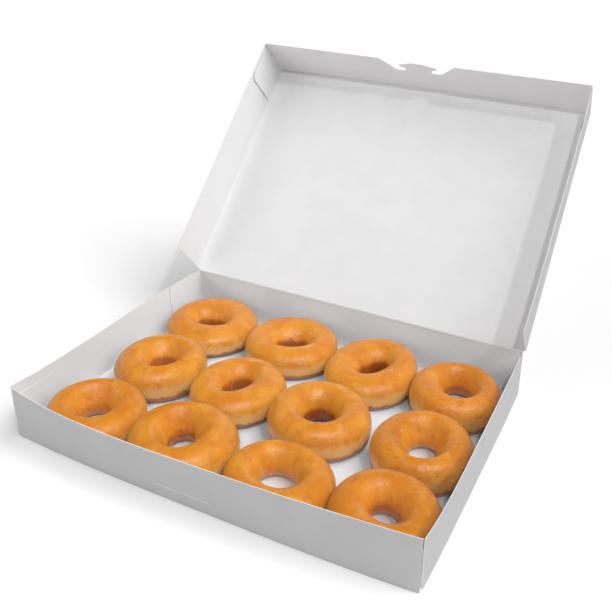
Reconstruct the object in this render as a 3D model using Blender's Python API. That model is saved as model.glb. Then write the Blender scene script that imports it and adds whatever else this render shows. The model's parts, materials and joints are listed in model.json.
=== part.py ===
"""An open paperboard carton holding a dozen glazed ring doughnuts.

The carton is folded from one blank: a shallow tray, and a lid that swings on
the crease along the top of the tray's back wall. The lid's walls close over
the outside of the tray's. The twelve rings lie in the tray in three rows of
four, touching each other, each a little different from the next.

Frame: metres, +X to the right along the front wall, +Y to the back, +Z up.
The origin is the middle of the tray's underside. The lid is modelled shut and
then turned about its crease to the angle at which it stands open.
"""

import math
from dataclasses import dataclass

import bmesh
import bpy
from mathutils import Matrix, Vector

MM = 0.001

# Paperboard and tray
BOARD = 0.6 * MM                # thickness of the board
TRAY_LENGTH = 368 * MM          # outside, along the front wall
TRAY_DEPTH = 255 * MM           # outside, front to back, at the corners
TRAY_HEIGHT = 48 * MM
GLUE_LAP = 0.1 * MM             # how far two glued layers run into each other

# The walls belly outwards between their corners, pushed by what is inside.
FRONT_BOW_FOOT = 4.5 * MM
FRONT_BOW_BELLY = 6.5 * MM      # a third of the way up, where the rings push
FRONT_BOW_RIM = 6.0 * MM
SIDE_BOW_FOOT = 1.0 * MM
SIDE_BOW_RIM = 2.0 * MM
BOW_FLATNESS = 4                # higher: a flatter middle and tighter ends
BELLY_LEVEL = 0.35              # share of the wall's height

# Rear end of each side wall, where it is trimmed below the crease
TRIM_LENGTH = 12 * MM
TRIM_DROP = 2 * MM
TRIM_SHOULDER = 1.5 * MM

# Glued ears inside the side walls
TRAY_EAR_HEIGHT = 38 * MM
TRAY_EAR_FRONT = 45 * MM
TRAY_EAR_BACK = 50 * MM
EAR_CHAMFER = 8 * MM

# Slit in the front wall that takes the lid's tab
SLIT_LENGTH = 48 * MM
SLIT_HEIGHT = 1.2 * MM
SLIT_LEVEL = 13.5 * MM
SLIT_MIDDLE_X = -6 * MM

# Lid, measured as if shut; "reach" is the distance forward of the crease and
# "drop" the distance below the top panel's outer face
CREASE_GAP = 0.3 * MM           # between the rim and the shut lid's panel
CREASE_SETBACK = 0.5 * MM       # between the crease and the panel's rear edge
OPEN_ANGLE = math.radians(134)
LID_REACH = 262.5 * MM
LID_DROP = 48.4 * MM
LID_HALF_REAR = 186.2 * MM      # half width at the crease
LID_HALF_FRONT = 188 * MM       # half width at the front fold
WALL_SPLAY_X = 2 * MM           # how far the free edges lean out
WALL_SPLAY_REACH = 3.6 * MM
REAR_SETBACK = 6 * MM           # side walls' rear corner, at the free edge
LID_EAR_LENGTH = 45.5 * MM
LID_EAR_DROP = 45 * MM

# Locking tab, cut out of the free edge of the lid's front wall
NOTCH_HALF_OPEN = 44 * MM
NOTCH_HALF_FLOOR = 27 * MM
NOTCH_DROP = 34 * MM
TAB_HALF_ROOT = 16 * MM
TAB_HALF_HOOK = 21.5 * MM
TAB_HOOK_DROP = 39 * MM
TAB_SHOULDER_DROP = 43.5 * MM
TAB_HALF_SHOULDER = 20 * MM
TAB_HALF_TIP = 6 * MM
TAB_TIP_DROP = 47.5 * MM

# Rings: the common form, then what sets each one apart
COLUMN_PITCH = 91 * MM
ROW_PITCH = 85.5 * MM
ROW_MIDDLE_Y = -7.5 * MM
FLOOR_GAP = 0.3 * MM            # between a ring and the board under it
EQUATOR = 0.42                  # level of the widest part, as a share of height
BASE_SQUARENESS = 0.8           # below 1: a flatter foot with fuller corners
OUTLINE_WAVE = 0.4              # millimetres that the outline wanders in and out
ROUND_STEPS = 30
TUBE_STEPS = 12


@dataclass(frozen=True)
class Ring:
    """One doughnut: its column and row, and its own sizes in millimetres."""

    column: int
    row: int                    # 0 is the back row
    nudge: tuple                # off its place in the grid, (x, y)
    width: float
    depth: float
    height: float
    hole: tuple                 # the throat, (width, depth)
    hole_nudge: tuple           # off the ring's middle, (x, y)
    rise: tuple                 # (how much higher one side is, towards degrees)
    wave: float                 # turns the slow waves of the outline, degrees


RINGS = (
    Ring(0, 0, (3, 1), 93, 91, 28, (22, 22), (0, 1), (2, 100), 10),
    Ring(1, 0, (6, 4), 93, 88, 29, (26, 26), (-1, 1), (1, 200), 75),
    Ring(2, 0, (6, -2), 88, 94, 31, (23, 22), (2, 2), (3, 60), 140),
    Ring(3, 0, (1, -5), 84, 80, 33, (25, 29), (3, 2), (1, 250), 200),
    Ring(0, 1, (7, -1), 84, 83, 33, (9, 10), (0, 3), (2, 20), 260),
    Ring(1, 1, (1, 2), 86, 87, 29, (22, 21), (-1, 1), (2, 330), 320),
    Ring(2, 1, (-2, -5), 90, 83, 33, (25, 26), (1, 1), (1, 160), 35),
    Ring(3, 1, (1, -2), 86, 84, 32, (24, 33), (1, 1), (2, 290), 100),
    Ring(0, 2, (7, 1.5), 85, 79, 31, (16, 19), (-2, 2), (2, 120), 165),
    Ring(1, 2, (6, 2), 92, 82, 34, (21, 23), (-3, 1), (1, 45), 230),
    Ring(2, 2, (6, 0), 89, 78, 29, (33, 25), (0, 2), (2, 210), 295),
    Ring(3, 2, (3, 2), 87, 79, 32, (23, 26), (1, 1), (2, 80), 350),
)


def paint(name, colour, roughness):
    """Return a material with one Principled shader set to the given finish."""
    material = bpy.data.materials.new(name)
    material.use_nodes = True
    shader = material.node_tree.nodes["Principled BSDF"]
    shader.inputs["Base Color"].default_value = (*colour, 1.0)
    shader.inputs["Roughness"].default_value = roughness
    shader.inputs["Metallic"].default_value = 0.0
    return material


def add_object(name, bm, material=None):
    """Turn a bmesh into a named object in the scene, and free the bmesh."""
    mesh = bpy.data.meshes.new(name)
    bm.to_mesh(mesh)
    bm.free()
    thing = bpy.data.objects.new(name, mesh)
    bpy.context.collection.objects.link(thing)
    if material:
        mesh.materials.append(material)
    return thing


def thicken(thing, thickness):
    """Give a skin its board, inwards from its outer face."""
    wall = thing.modifiers.new("board", "SOLIDIFY")
    wall.thickness = thickness
    wall.offset = -1.0
    wall.use_even_offset = True


def combine(thing, operand, operation):
    """Join a hidden guide to a board part, or cut it out of the part."""
    operand.hide_render = True
    operand.display_type = "WIRE"
    step = thing.modifiers.new(operand.name, "BOOLEAN")
    step.operation = operation
    step.solver = "EXACT"
    step.object = operand


def grid_skin(bm, rows):
    """Add a sheet of four-sided faces through rows of points."""
    rows = [[bm.verts.new(point) for point in row] for row in rows]
    for low, high in zip(rows, rows[1:]):
        for i in range(len(low) - 1):
            bm.faces.new((low[i], low[i + 1], high[i + 1], high[i]))


# ---------------------------------------------------------------- tray

def belly(share):
    """Return how far along its bow a wall is, at a share from -1 to 1 of its run."""
    return 1.0 - abs(share) ** BOW_FLATNESS


def front_bow(level):
    """Return the front wall's bow at a share of its height."""
    if level < BELLY_LEVEL:
        return FRONT_BOW_FOOT + (FRONT_BOW_BELLY - FRONT_BOW_FOOT) * level / BELLY_LEVEL
    above = (level - BELLY_LEVEL) / (1.0 - BELLY_LEVEL)
    return FRONT_BOW_BELLY + (FRONT_BOW_RIM - FRONT_BOW_BELLY) * above


def side_bow(level):
    """Return a side wall's bow at a share of its height."""
    return SIDE_BOW_FOOT + (SIDE_BOW_RIM - SIDE_BOW_FOOT) * level


def side_x(y, z):
    """Return the outer face of the right-hand wall at a place along it."""
    half_depth = TRAY_DEPTH / 2
    return TRAY_LENGTH / 2 + side_bow(z / TRAY_HEIGHT) * belly(y / half_depth)


def tray_outline(level):
    """Return the tray's outer edge at a share of its height, anticlockwise."""
    half_length, half_depth = TRAY_LENGTH / 2, TRAY_DEPTH / 2
    z = level * TRAY_HEIGHT
    front_steps, back_steps = 14, 4
    side_ys = [half_depth * share for share in (-1, -0.8, -0.5, -0.15, 0.2, 0.5, 0.75)]
    side_ys += [half_depth - TRIM_LENGTH, half_depth - TRIM_SHOULDER]
    at_rim = level == 1.0
    points = []
    for i in range(front_steps):
        x = half_length * (2 * i / front_steps - 1)
        points.append(Vector((x, -half_depth - front_bow(level) * belly(x / half_length), z)))
    for y in side_ys:
        drop = TRIM_DROP if at_rim and y == side_ys[-1] else 0.0
        points.append(Vector((side_x(y, z), y, z - drop)))
    for i in range(back_steps):
        points.append(Vector((half_length * (1 - 2 * i / back_steps), half_depth, z)))
    for y in [half_depth] + side_ys[:0:-1]:
        drop = TRIM_DROP if at_rim and y == side_ys[-1] else 0.0
        points.append(Vector((-side_x(y, z), y, z - drop)))
    return points


def tray_ear(name, side, end, length):
    """Make one glued ear: side is -1 or 1 along X, end is -1 or 1 along Y."""
    corner = end * (TRAY_DEPTH / 2 - BOARD / 2)
    floor = BOARD / 2
    face = BOARD - GLUE_LAP
    runs = [0.0, length / 3, length * 2 / 3, length - EAR_CHAMFER, length]
    tops = [TRAY_EAR_HEIGHT] * 4 + [TRAY_EAR_HEIGHT - EAR_CHAMFER]
    rows = []
    for level in (0.0, 0.5, 1.0):
        row = []
        for run, top in zip(runs, tops):
            y = corner - end * run
            z = floor + (top - floor) * level
            row.append(Vector((side * (side_x(y, z) - face), y, z)))
        rows.append(row)
    bm = bmesh.new()
    grid_skin(bm, rows)
    if side * end > 0:
        bmesh.ops.reverse_faces(bm, faces=bm.faces)
    ear = add_object(name, bm)
    thicken(ear, BOARD + GLUE_LAP)
    return ear


def make_tray(board):
    """Make the tray: floor, four walls, four glued ears and the tab's slit."""
    bm = bmesh.new()
    rings = [[bm.verts.new(p) for p in tray_outline(level)]
             for level in (0.0, BELLY_LEVEL, 1.0)]
    bm.faces.new(rings[0][::-1])
    for low, high in zip(rings, rings[1:]):
        for i in range(len(low)):
            j = (i + 1) % len(low)
            bm.faces.new((low[i], low[j], high[j], high[i]))
    tray = add_object("tray", bm, board)
    thicken(tray, BOARD)
    for side in (-1, 1):
        for end, length in ((-1, TRAY_EAR_FRONT), (1, TRAY_EAR_BACK)):
            ear = tray_ear(f"tray_ear_{side}_{end}", side, end, length)
            combine(tray, ear, "UNION")
    bm = bmesh.new()
    bmesh.ops.create_cube(bm, size=1.0)
    reach = 4 * (FRONT_BOW_BELLY + BOARD)
    bmesh.ops.scale(bm, vec=(SLIT_LENGTH, reach, SLIT_HEIGHT), verts=bm.verts)
    slit = add_object("tab_slit", bm)
    slit.location = (SLIT_MIDDLE_X, -TRAY_DEPTH / 2, SLIT_LEVEL)
    combine(tray, slit, "DIFFERENCE")
    return tray


# ---------------------------------------------------------------- lid

def lid_wall_point(side, reach, level, inset=0.0):
    """Return a point of a lid side wall; level runs from 0 at the fold to 1."""
    share = reach / LID_REACH
    half = LID_HALF_REAR + (LID_HALF_FRONT - LID_HALF_REAR) * share
    lean = WALL_SPLAY_REACH * level * share
    return Vector((side * (half + WALL_SPLAY_X * level - inset),
                   -(reach + lean), -LID_DROP * level))


def tab_outline():
    """Return the right-hand half of the front wall's free edge, as (x, drop)."""
    return [
        (NOTCH_HALF_OPEN, LID_DROP),
        (NOTCH_HALF_FLOOR, NOTCH_DROP),
        (TAB_HALF_ROOT, NOTCH_DROP),
        (TAB_HALF_ROOT, TAB_HOOK_DROP - 2 * MM),
        (TAB_HALF_HOOK, TAB_HOOK_DROP),
        (TAB_HALF_SHOULDER, TAB_SHOULDER_DROP),
        (TAB_HALF_TIP, TAB_TIP_DROP),
    ]


def lid_ear(name, side):
    """Make one of the lid's glued ears, inside the front end of a side wall."""
    face = BOARD - GLUE_LAP
    runs = [BOARD / 2, LID_EAR_LENGTH / 3, LID_EAR_LENGTH * 2 / 3,
            LID_EAR_LENGTH - EAR_CHAMFER / 2, LID_EAR_LENGTH]
    ends = [LID_EAR_DROP] * 4 + [LID_EAR_DROP - EAR_CHAMFER / 2]
    rows = []
    for share in (0.0, 0.5, 1.0):
        row = []
        for run, end in zip(runs, ends):
            drop = BOARD / 2 + (end - BOARD / 2) * share
            row.append(lid_wall_point(side, LID_REACH - run, drop / LID_DROP, face))
        rows.append(row)
    bm = bmesh.new()
    grid_skin(bm, rows)
    if side < 0:
        bmesh.ops.reverse_faces(bm, faces=bm.faces)
    ear = add_object(name, bm)
    thicken(ear, BOARD + GLUE_LAP)
    return ear


def make_lid(board, crease):
    """Make the lid shut, hung from the crease: panel, three walls and two ears."""
    bm = bmesh.new()
    steps = 6
    edges = {}
    for side in (-1, 1):
        folds, frees = [], []
        for i in range(steps + 1):
            share = i / steps
            fold = CREASE_SETBACK + (LID_REACH - CREASE_SETBACK) * share
            free = REAR_SETBACK + (LID_REACH - REAR_SETBACK) * share
            folds.append(bm.verts.new(lid_wall_point(side, fold, 0.0)))
            frees.append(bm.verts.new(lid_wall_point(side, free, 1.0)))
        edges[side] = (folds, frees)
        for i in range(steps):
            corners = (folds[i], folds[i + 1], frees[i + 1], frees[i])
            bm.faces.new(corners if side < 0 else corners[::-1])
    left, right = edges[-1], edges[1]
    bm.faces.new(left[0][::-1] + right[0])
    right_half = [bm.verts.new((x, -(LID_REACH + WALL_SPLAY_REACH * drop / LID_DROP), -drop))
                  for x, drop in tab_outline()]
    left_half = [bm.verts.new((-v.co.x, v.co.y, v.co.z)) for v in right_half]
    free_edge = left_half + right_half[::-1]
    bm.faces.new([right[0][-1], left[0][-1], left[1][-1]] + free_edge + [right[1][-1]])
    bmesh.ops.recalc_face_normals(bm, faces=bm.faces)
    bmesh.ops.translate(bm, vec=(0.0, 0.0, BOARD), verts=bm.verts)
    lid = add_object("lid", bm, board)
    thicken(lid, BOARD)
    lid.parent = crease
    for side in (-1, 1):
        ear = lid_ear(f"lid_ear_{side}", side)
        ear.parent = crease
        ear.data.transform(Matrix.Translation((0.0, 0.0, BOARD)))
        combine(lid, ear, "UNION")
    return lid


# ---------------------------------------------------------------- doughnuts

def tube_section():
    """Return the closed section of the common ring as (across, up) from -1 to 1, 0 to 1."""
    section = []
    for i in range(TUBE_STEPS):
        turn = 2 * math.pi * i / TUBE_STEPS
        across, up = math.cos(turn), math.sin(turn)
        if up >= 0:
            section.append((across, EQUATOR + (1 - EQUATOR) * up))
        else:
            across = math.copysign(abs(across) ** BASE_SQUARENESS, across)
            up = -abs(up) ** BASE_SQUARENESS
            section.append((across, EQUATOR * (1 + up)))
    return section


def ring_shape(ring, turn, across, up):
    """Return one point of a doughnut: turn goes round it, across and up its tube."""
    cosine, sine = math.cos(turn), math.sin(turn)
    half_x, half_y = ring.width / 2, ring.depth / 2
    outer = half_x * half_y / math.hypot(half_y * cosine, half_x * sine)
    outer += OUTLINE_WAVE * math.cos(3 * turn + math.radians(ring.wave))
    hole_x, hole_y = ring.hole[0] / 2, ring.hole[1] / 2
    throat = hole_x * hole_y / math.hypot(hole_y * cosine, hole_x * sine)
    throat += ring.hole_nudge[0] * cosine + ring.hole_nudge[1] * sine
    reach = (outer + throat) / 2 + across * (outer - throat) / 2
    lift, towards = ring.rise
    height = ring.height + lift * (math.cos(turn - math.radians(towards)) - 1) / 2
    return Vector((reach * cosine, reach * sine, up * height)) * MM


def make_ring(name, ring, dough):
    """Make one doughnut by spinning the common section, then giving it its own form."""
    bm = bmesh.new()
    core = 2.0
    section = tube_section()
    loop = [bm.verts.new((core + across, 0.0, up)) for across, up in section]
    rim = [bm.edges.new((loop[i], loop[(i + 1) % len(loop)])) for i in range(len(loop))]
    bmesh.ops.spin(bm, geom=loop + rim, cent=(0, 0, 0), axis=(0, 0, 1),
                   angle=2 * math.pi, steps=ROUND_STEPS, use_merge=True)
    bmesh.ops.recalc_face_normals(bm, faces=bm.faces)
    for vert in bm.verts:
        x, y, up = vert.co
        vert.co = ring_shape(ring, math.atan2(y, x), math.hypot(x, y) - core, up)
    doughnut = add_object(name, bm, dough)
    doughnut.data.shade_smooth()
    doughnut.location = (
        (ring.column - 1.5) * COLUMN_PITCH + ring.nudge[0] * MM,
        ROW_MIDDLE_Y + (1 - ring.row) * ROW_PITCH + ring.nudge[1] * MM,
        BOARD + FLOOR_GAP,
    )
    return doughnut


def main():
    """Clear the scene and make the tray, the open lid and the twelve doughnuts."""
    for thing in list(bpy.data.objects):
        bpy.data.objects.remove(thing, do_unlink=True)
    board = paint("white_board", (0.83, 0.83, 0.84), 0.6)
    dough = paint("glazed_dough", (0.66, 0.33, 0.09), 0.3)
    make_tray(board)
    crease = bpy.data.objects.new("crease", None)
    bpy.context.collection.objects.link(crease)
    crease.location = (0.0, TRAY_DEPTH / 2, TRAY_HEIGHT + CREASE_GAP)
    crease.rotation_euler = (-OPEN_ANGLE, 0.0, 0.0)
    make_lid(board, crease)
    for number, ring in enumerate(RINGS, start=1):
        make_ring(f"doughnut_{number:02d}", ring, dough)


main()
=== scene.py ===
"""Looks for an open paperboard carton that holds a dozen glazed ring doughnuts.

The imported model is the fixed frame. The carton's two board parts are folded
here again from sheets, with rounded creases, cut edges and a bowed front
wall, and every doughnut is spun anew on the outline, throat and height of its
own solid, then given its dome, its glaze and its browned foot.

Metres, +X to the right along the front wall, +Y to the hinged back wall, +Z
up. The lid is laid out as if shut and then turned about its crease.
"""

import json
import logging
import math
from dataclasses import dataclass, field
from enum import Enum
from typing import Callable, Iterable, Sequence

import bmesh
import bpy
import numpy as np
from mathutils import Matrix, Vector, noise
from mathutils.bvhtree import BVHTree


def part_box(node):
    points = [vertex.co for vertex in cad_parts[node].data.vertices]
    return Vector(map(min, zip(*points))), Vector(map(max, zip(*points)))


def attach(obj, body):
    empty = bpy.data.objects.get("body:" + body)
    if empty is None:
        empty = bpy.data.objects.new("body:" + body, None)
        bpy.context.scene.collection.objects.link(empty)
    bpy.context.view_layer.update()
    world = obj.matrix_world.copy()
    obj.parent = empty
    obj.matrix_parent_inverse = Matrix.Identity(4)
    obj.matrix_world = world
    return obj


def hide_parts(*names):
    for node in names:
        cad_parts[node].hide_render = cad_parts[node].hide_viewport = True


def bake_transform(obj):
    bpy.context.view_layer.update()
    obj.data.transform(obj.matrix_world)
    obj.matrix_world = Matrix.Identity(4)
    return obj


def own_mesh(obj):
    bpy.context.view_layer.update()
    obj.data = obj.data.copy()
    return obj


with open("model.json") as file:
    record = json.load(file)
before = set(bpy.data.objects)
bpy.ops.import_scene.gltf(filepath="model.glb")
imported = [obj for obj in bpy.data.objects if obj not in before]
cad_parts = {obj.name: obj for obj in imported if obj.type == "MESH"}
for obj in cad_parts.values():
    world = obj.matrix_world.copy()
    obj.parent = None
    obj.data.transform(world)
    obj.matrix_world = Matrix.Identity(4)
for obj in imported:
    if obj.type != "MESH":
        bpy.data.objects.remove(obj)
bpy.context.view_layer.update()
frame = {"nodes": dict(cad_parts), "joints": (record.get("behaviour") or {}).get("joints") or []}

MM = 0.001
BOARD = 0.6 * MM  # thickness of the board
FOLD_RADIUS = 1.0 * MM  # outside radius of a creased fold
LAYER_GAP = 0.05 * MM  # between two glued layers
EAR_EASE = 9 * MM  # from an ear's fold to where it lies flat on its wall
EAR_SPRING = 12 * MM  # length of its free end that springs off the wall
QUARTER = math.pi / 2

Place = Callable[[float, float], Vector]
Colour = tuple[float, float, float, float]
Socket = bpy.types.NodeSocket
Materials = Sequence[bpy.types.Material]
log = logging.getLogger("carton")


class Side(Enum):
    """The left-hand or right-hand end of the carton, as a sign along X."""

    LEFT = -1
    RIGHT = 1


class Layer(Enum):
    """What a sheet shows; its edge and its inner face follow in the list of materials."""

    OUTER = 0
    EDGE = 1
    INNER = 2
    CREASE = 3  # an outer face whose cut edge is painted dark as shade
    EAR = 5  # the board's inside on both faces, with its cut edge painted dark as shade
    FLAP = 7  # the same with a pale cut edge


# ---- small helpers

def smooth(value: float, low: float, high: float) -> float:
    """Return a smooth step from 0 at low to 1 at high.

    Args:
        value: The place on the step.
        low: Where the step begins.
        high: Where the step ends.

    Returns:
        A share from 0 to 1.
    """
    share = min(1.0, max(0.0, (value - low) / (high - low)))
    return share * share * (3 - 2 * share)


def lerp(low: float, high: float, share: float) -> float:
    """Return the value a share of the way from low to high."""
    return low + (high - low) * share


def bend(run: float, angle: float, radius: float) -> tuple[float, float]:
    """Carry a flat run round a rounded crease.

    Args:
        run: Distance past the crease's sharp corner; negative before it.
        angle: How far the sheet turns, in radians.
        radius: Radius of the rounded crease.

    Returns:
        Distance along the first panel, and distance off it.
    """
    tangent = radius * math.tan(angle / 2)
    if run <= -tangent:
        return run, 0.0
    if run >= tangent:
        return run * math.cos(angle), run * math.sin(angle)
    turn = angle * (run + tangent) / (2 * tangent)
    return radius * math.sin(turn) - tangent, radius * (1 - math.cos(turn))


def stations(low: float, high: float, pitch: float, marks: Iterable[float] = ()) -> list[float]:
    """Spread grid lines evenly and add some at given places.

    Args:
        low: First line.
        high: Last line.
        pitch: Largest wanted distance between lines.
        marks: Places that must have a line of their own.

    Returns:
        The lines in rising order, none closer than a tenth of a millimetre.
    """
    count = max(1, math.ceil((high - low) / pitch))
    marks = [m for m in marks if low < m < high]
    lines = [low, high] + marks
    for i in range(1, count):
        line = lerp(low, high, i / count)
        if all(abs(line - mark) > pitch / 3 for mark in marks):
            lines.append(line)
    lines.sort()
    return [a for a, b in zip(lines, lines[1:] + [math.inf]) if b - a > 0.1 * MM]


def mirrored(lines: Iterable[float]) -> list[float]:
    """Return the mirror images of the lines, and then the lines."""
    return [side * line for side in (-1, 1) for line in lines]


def crease_lines(at: float) -> list[float]:
    """Return the grid lines that a rounded quarter fold needs."""
    return [at + FOLD_RADIUS * share for share in (-1.0, -0.5, 0.0, 0.5, 1.0)]


def wall_lines(shared: Sequence[float], end: float) -> list[float]:
    """Spread the grid lines across a wall whose ends turn into ears.

    Args:
        shared: Lines of the sheet that the wall joins.
        end: Where the wall's ends fold, on either side of the middle.

    Returns:
        The lines in rising order.
    """
    lines = list(shared) + mirrored(crease_lines(end))
    return sorted({round(line, 6) for line in lines if abs(line) <= end + FOLD_RADIUS})


def ripple(point: Vector, pitch: float, seed: float) -> float:
    """Return slow random relief from -1 to 1 with the given wavelength."""
    return noise.noise(point / pitch + Vector((seed, seed * 0.7, -seed)))


def show(name: str, data: bpy.types.ID) -> bpy.types.Object:
    """Return a new object of the scene with the given data."""
    shown = bpy.data.objects.new(name, data)
    bpy.context.scene.collection.objects.link(shown)
    return shown


def show_mesh(name: str, bm: bmesh.types.BMesh, materials: Iterable[bpy.types.Material]
              ) -> bpy.types.Object:
    """Turn a finished mesh into an object.

    Args:
        name: Name of the object and of its mesh.
        bm: The mesh, which is freed.
        materials: Its materials, in the order of its slots.

    Returns:
        The new object.
    """
    mesh = bpy.data.meshes.new(name)
    bm.to_mesh(mesh)
    bm.free()
    for material in materials:
        mesh.materials.append(material)
    return show(name, mesh)


# ---- materials

def display(red: int, green: int, blue: int) -> Colour:
    """Return the linear colour of a display colour given from 0 to 255."""
    def linear(channel: int) -> float:
        """Undo the display's tone curve for one channel."""
        value = channel / 255
        return value / 12.92 if value <= 0.04045 else ((value + 0.055) / 1.055) ** 2.4
    return linear(red), linear(green), linear(blue), 1.0


class Finish:
    """A procedural material under construction on one Principled surface."""

    def __init__(self, name: str) -> None:
        """Start a material and find its surface and object coordinates."""
        self.material = bpy.data.materials.new(name)
        self.material.use_nodes = True
        self.tree = self.material.node_tree
        self.surface = self.tree.nodes["Principled BSDF"]
        self.place = self.tree.nodes.new("ShaderNodeTexCoord").outputs["Object"]

    def feed(self, value: object, socket: Socket) -> None:
        """Link a socket's source to it, or set its constant."""
        if isinstance(value, Socket):
            self.tree.links.new(value, socket)
        else:
            socket.default_value = value

    def wear(self, **values: object) -> None:
        """Give sockets of the surface, named with _ for spaces, a source or a constant."""
        for name, value in values.items():
            self.feed(value, self.surface.inputs[name.replace("_", " ")])

    def node(self, kind: str, output: str | int, inputs: dict[str | int, object],
             **settings: str) -> Socket:
        """Add one node to the material.

        Args:
            kind: The node's type, without the words before it.
            output: Which output to return.
            inputs: What feeds each of its inputs.
            settings: The node's other settings.

        Returns:
            The output.
        """
        node = self.tree.nodes.new(f"ShaderNode{kind}")
        for name, setting in settings.items():
            setattr(node, name, setting)
        for key, value in inputs.items():
            self.feed(value, node.inputs[key])
        return node.outputs[output]

    def stretched(self, scale: Sequence[float]) -> Socket:
        """Return object coordinates stretched along each axis, for grain or fibres."""
        return self.node("Mapping", "Vector", {"Vector": self.place, "Scale": scale})

    def clouds(self, size: float, detail: float = 2.0, roughness: float = 0.5,
               warp: float = 0.0, vector: Socket | None = None) -> Socket:
        """Return noise about 0.5.

        Args:
            size: Wavelength in metres.
            detail: How many finer layers are added.
            roughness: Strength of the finer layers.
            warp: How far the pattern is pulled about.
            vector: Coordinates, or None for object coordinates.

        Returns:
            The noise's value socket.
        """
        return self.node("TexNoise", "Fac", {
            "Scale": 1.0 / size, "Detail": detail, "Roughness": roughness,
            "Distortion": warp, "Vector": vector or self.place,
        })

    def cracks(self, size: float, vector: Socket) -> Socket:
        """Return the distance to the nearest crack of a crazed surface."""
        return self.node("TexVoronoi", "Distance", {"Scale": 1.0 / size, "Vector": vector},
                         feature="DISTANCE_TO_EDGE")

    def stored(self, name: str) -> Socket:
        """Return a value stored at the piece's points."""
        return self.node("Attribute", "Fac", {}, attribute_name=name)

    def step(self, value: object, low: float, high: float,
             start: float = 0.0, end: float = 1.0) -> Socket:
        """Return a value mapped smoothly from low..high to start..end."""
        spans = {"From Min": low, "From Max": high, "To Min": start, "To Max": end}
        return self.node("MapRange", "Result", {"Value": value} | spans,
                         interpolation_type="SMOOTHSTEP")

    def sums(self, operation: str, first: object, second: object) -> Socket:
        """Return the outcome of one sum on two values."""
        return self.node("Math", "Value", {0: first, 1: second}, operation=operation)

    def times(self, first: object, second: object) -> Socket:
        """Return one value times another."""
        return self.sums("MULTIPLY", first, second)

    def mix(self, share: object, first: object, second: object) -> Socket:
        """Return a colour that goes from the first to the second with the share."""
        return self.node("Mix", 2, {0: share, 6: first, 7: second}, data_type="RGBA")

    def unspilled(self, colour: object, share: float, pale: object) -> Socket:
        """Return a colour that throws a share of itself on its neighbours, and the rest pale."""
        bounced = self.node("LightPath", "Is Diffuse Ray", {})
        return self.mix(self.times(bounced, 1 - share), colour, pale)

    def relief(self, height: object, depth: float, below: Socket | None = None) -> Socket:
        """Return a normal with relief of the given depth in metres, over another relief."""
        under = {"Normal": below} if below else {}
        return self.node("Bump", "Normal", {"Height": height, "Distance": depth} | under)


@dataclass(frozen=True)
class BoardFinish:
    """Bleached paperboard: its tone, its shine and how strongly its fibres show."""

    name: str
    tone: tuple[int, int, int]
    shade: tuple[int, int, int]
    roughness: float
    fibre_depth: float
    cloud_size: float = 28 * MM
    fibre_size: float = 0.5 * MM

    def make(self) -> bpy.types.Material:
        """Return the board's material."""
        finish = Finish(self.name)
        cloud = finish.clouds(self.cloud_size, detail=4.0, roughness=0.6)
        fibre = finish.clouds(self.fibre_size, detail=3.0, roughness=0.7, warp=0.6,
                              vector=finish.stretched((1.0, 0.45, 0.8)))
        mottle = finish.times(finish.step(cloud, 0.3, 0.7), 0.6)
        speck = finish.times(finish.step(fibre, 0.35, 0.75), 0.4)
        colour = finish.mix(finish.sums("ADD", mottle, speck),
                            display(*self.tone), display(*self.shade))
        shine = finish.step(fibre, 0.3, 0.7, self.roughness - 0.05, self.roughness + 0.05)
        finish.wear(Base_Color=colour, Roughness=shine, Specular_IOR_Level=0.35,
                    Normal=finish.relief(fibre, self.fibre_depth))
        return finish.material


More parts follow.
